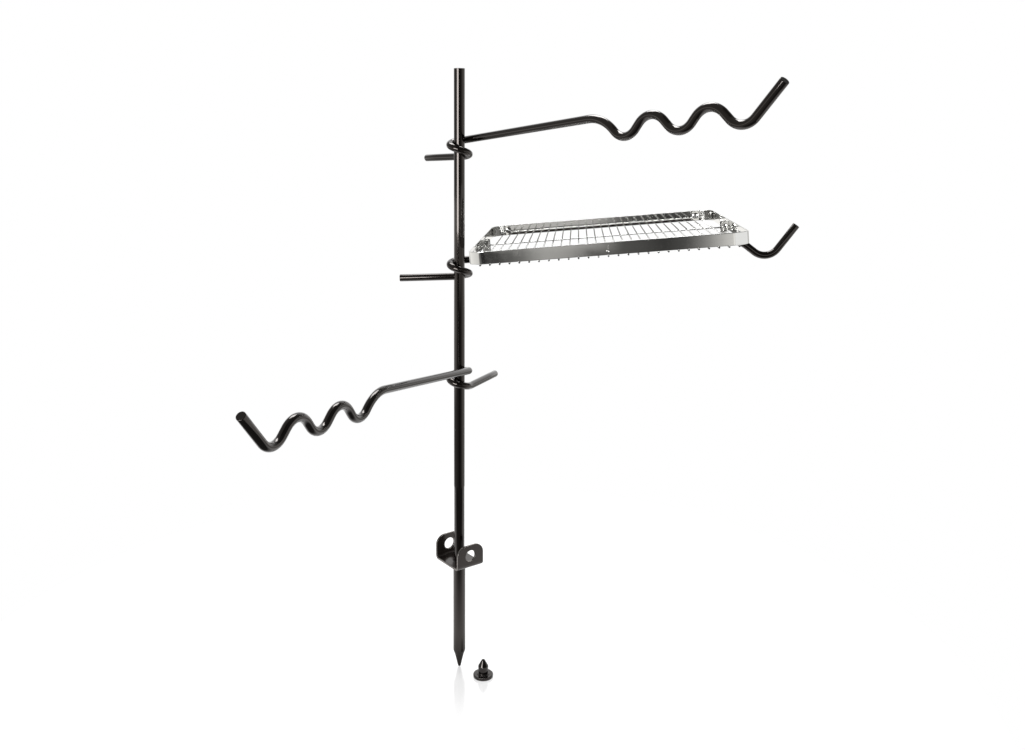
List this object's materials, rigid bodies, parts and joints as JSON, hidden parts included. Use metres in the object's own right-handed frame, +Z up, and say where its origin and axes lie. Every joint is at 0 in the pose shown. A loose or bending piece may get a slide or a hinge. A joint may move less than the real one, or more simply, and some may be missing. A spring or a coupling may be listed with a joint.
{
  "type": "campfire grill stand",
  "caption": "Black ground spike with a lift-out mast, swivelling looped arms with pot hooks, a chromed wire grate that lifts off its arm, and a drive plug.",
  "frame": {"origin": "point of the ground spike, which is driven into the ground", "axes": "+Z up along the mast, -Y towards the viewer of the picture, +X towards the grate"},
  "size_m": [0.8099, 0.8694, 1.0968],
  "materials": {
    "painted": "gloss black, brownish",
    "chrome_strip": "polished chrome",
    "chrome_wire": "chromed wire",
    "hanger_steel": "chromed sheet",
    "rivet_steel": "chromed rivet",
    "weld_steel": "painted weld bead"
  },
  "bodies": {
    "ground_spike": {"spike_sleeve": "painted", "spike_tip": "painted", "tip_pin": "painted", "foot_bracket": "painted", "sleeve_weld": "weld_steel"},
    "mast": {"mast_tube": "painted"},
    "top_arm": {"top_arm": "painted"},
    "grill_arm": {"grill_arm": "painted"},
    "lower_arm": {"lower_arm": "painted"},
    "grate": {"cross_wire_01": "chrome_wire", "cross_wire_02": "chrome_wire", "cross_wire_03": "chrome_wire", "cross_wire_04": "chrome_wire", "cross_wire_05": "chrome_wire", "cross_wire_06": "chrome_wire", "cross_wire_07": "chrome_wire", "cross_wire_08": "chrome_wire", "cross_wire_09": "chrome_wire", "cross_wire_10": "chrome_wire", "cross_wire_11": "chrome_wire", "cross_wire_12": "chrome_wire", "cross_wire_13": "chrome_wire", "cross_wire_14": "chrome_wire", "cross_wire_15": "chrome_wire", "cross_wire_16": "chrome_wire", "cross_wire_17": "chrome_wire", "cross_wire_18": "chrome_wire", "cross_wire_19": "chrome_wire", "cross_wire_20": "chrome_wire", "cross_wire_21": "chrome_wire", "cross_wire_22": "chrome_wire", "cross_wire_23": "chrome_wire", "cross_wire_24": "chrome_wire", "cross_wire_25": "chrome_wire", "cross_wire_26": "chrome_wire", "cross_wire_27": "chrome_wire", "grate_frame": "chrome_strip", "hanger_left": "hanger_steel", "hanger_right": "hanger_steel", "hanger_rivet_left": "rivet_steel", "hanger_rivet_right": "rivet_steel", "strip_rivet_left": "rivet_steel", "strip_rivet_right": "rivet_steel", "support_wire_back": "chrome_wire", "support_wire_front": "chrome_wire"},
    "drive_plug": {"drive_plug": "painted"}
  },
  "joints": [
    {"name": "mast_lift", "type": "slide", "parent": "ground_spike", "child": "mast", "axis": [0, 0, 1], "range_m": [0, 0.16]},
    {"name": "top_arm_swivel", "type": "hinge", "parent": "mast", "child": "top_arm", "pos_m": [0, 0, 0.9764], "axis": [0, 0, 1], "continuous": true},
    {"name": "grill_arm_swivel", "type": "hinge", "parent": "mast", "child": "grill_arm", "pos_m": [0, 0, 0.7637], "axis": [0, 0, 1], "continuous": true},
    {"name": "lower_arm_swivel", "type": "hinge", "parent": "mast", "child": "lower_arm", "pos_m": [0, 0, 0.5676], "axis": [0, 0, 1], "continuous": true},
    {"name": "grate_lift", "type": "slide", "parent": "grill_arm", "child": "grate", "axis": [-0.0913, 0.006, 0.9958], "range_m": [0, 0.1]},
    {"name": "plug_lift", "type": "slide", "parent": "ground_spike", "child": "drive_plug", "axis": [0, 0, 1], "range_m": [0, 0.1]}
  ]
}
